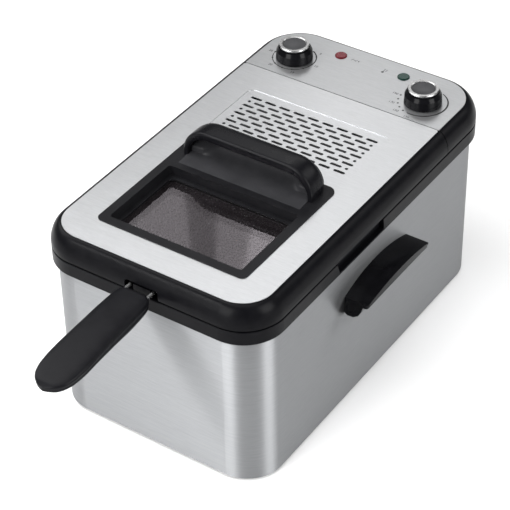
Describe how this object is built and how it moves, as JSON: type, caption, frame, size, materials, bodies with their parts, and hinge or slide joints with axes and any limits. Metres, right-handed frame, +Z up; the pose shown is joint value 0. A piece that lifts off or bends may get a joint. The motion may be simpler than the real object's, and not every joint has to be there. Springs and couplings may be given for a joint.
{
  "type": "deep fryer",
  "caption": "Countertop deep fryer with steel body, lift-off windowed lid, folding-handle wire basket, oil pot and removable control unit with immersion heater.",
  "frame": {"origin": "on the floor plane under the middle of the overall box, basket handle included", "axes": "+Z up; the front with the basket handle faces -Y; the control panel is at the +Y end; +X is the right-hand side seen from the front"},
  "size_m": [0.2876, 0.55, 0.2387],
  "materials": {
    "brushed_shell": "horizontally brushed stainless steel",
    "brushed_plate": "stainless steel brushed from side to side",
    "sheet_steel": "plain sheet steel",
    "zinc_steel": "zinc plated",
    "heater_steel": "heat-darkened steel sheath",
    "chrome_wire": "bright plated wire",
    "satin_chrome": "satin bright ring",
    "black_plastic": "satin black, heat-resistant",
    "gloss_black": "gloss black",
    "white_plastic": "natural nylon",
    "red_lens": "translucent red lens",
    "green_lens": "translucent green lens",
    "red_button": "gloss red",
    "rubber": "matte",
    "silicone": "matte grey silicone",
    "enamel": "dark enamel on steel",
    "copper": "copper tube",
    "filter_fibre": "filter felt",
    "window_glass": "clear tempered glass"
  },
  "bodies": {
    "housing": {"outer_shell": "brushed_shell", "rim_collar": "black_plastic", "base_plate": "black_plastic", "rubber_feet": "rubber", "base_screws": "zinc_steel", "heat_shield": "sheet_steel", "side_grip_right": "gloss_black", "side_grip_left": "gloss_black", "grip_screws": "zinc_steel"},
    "oil_pot": {"oil_pot": "enamel", "level_marks": "enamel"},
    "control_unit": {"control_housing": "black_plastic", "control_plate": "brushed_plate", "control_cover": "black_plastic", "cover_screws": "zinc_steel", "timer_unit": "sheet_steel", "thermostat_unit": "sheet_steel", "lens_red": "red_lens", "lens_green": "green_lens", "lamp_holders": "white_plastic", "heating_element": "heater_steel", "element_clip": "sheet_steel", "element_bracket": "sheet_steel", "sensor_capillary": "copper", "sensor_bulb": "copper", "bulb_clip": "sheet_steel", "safety_cutout": "white_plastic", "cord_gland": "rubber", "terminal_block": "white_plastic", "microswitch": "gloss_black"},
    "timer_knob": {"timer_shaft": "zinc_steel", "timer_knob": "gloss_black", "timer_knob_ring": "satin_chrome", "timer_knob_cap": "black_plastic"},
    "thermostat_knob": {"thermostat_shaft": "zinc_steel", "thermostat_knob": "gloss_black", "thermostat_knob_ring": "satin_chrome", "thermostat_knob_cap": "black_plastic"},
    "reset_button": {"reset_button": "red_button"},
    "basket": {"basket_mesh": "chrome_wire", "basket_rim": "chrome_wire", "basket_bracket": "sheet_steel", "basket_hook": "sheet_steel"},
    "basket_handle": {"handle_wires": "chrome_wire", "handle_grip": "black_plastic"},
    "lid": {"lid_frame": "black_plastic", "lid_plate": "brushed_plate", "window_bezel": "black_plastic", "window_seal": "silicone", "window_glass": "window_glass", "glass_retainer": "sheet_steel", "lid_handle": "black_plastic", "handle_screws": "zinc_steel", "inner_plate": "sheet_steel", "filter_tray": "black_plastic", "filter_pad": "filter_fibre", "lid_seal": "silicone", "inner_screws": "zinc_steel"}
  },
  "joints": [
    {"name": "pot_lift", "type": "slide", "parent": "housing", "child": "oil_pot", "axis": [0, 0, 1], "range_m": [0, 0.2]},
    {"name": "control_lift", "type": "slide", "parent": "oil_pot", "child": "control_unit", "axis": [0, 0, 1], "range_m": [0, 0.18]},
    {"name": "basket_lift", "type": "slide", "parent": "control_unit", "child": "basket", "axis": [0, 0, 1], "range_m": [0, 0.18]},
    {"name": "lid_lift", "type": "slide", "parent": "basket", "child": "lid", "axis": [0, 0, 1], "range_m": [0, 0.42]},
    {"name": "handle_fold", "type": "hinge", "parent": "basket", "child": "basket_handle", "pos_m": [0, -0.1035, 0.189], "axis": [-1, 0, 0], "range_deg": [0, 150]},
    {"name": "timer_turn", "type": "hinge", "parent": "control_unit", "child": "timer_knob", "pos_m": [-0.0736, 0.218, 0.206], "axis": [0, 0, -1], "range_deg": [0, 300]},
    {"name": "thermostat_turn", "type": "hinge", "parent": "control_unit", "child": "thermostat_knob", "pos_m": [0.0736, 0.218, 0.206], "axis": [0, 0, -1], "range_deg": [0, 270]},
    {"name": "reset_press", "type": "slide", "parent": "control_unit", "child": "reset_button", "axis": [0, -1, 0], "range_m": [0, 0.002], "stiffness_N_per_m": 400}
  ],
  "couplings": [
    {"joint": "handle_fold", "follows": "lid_lift", "rad_per_m": 6.233}
  ]
}
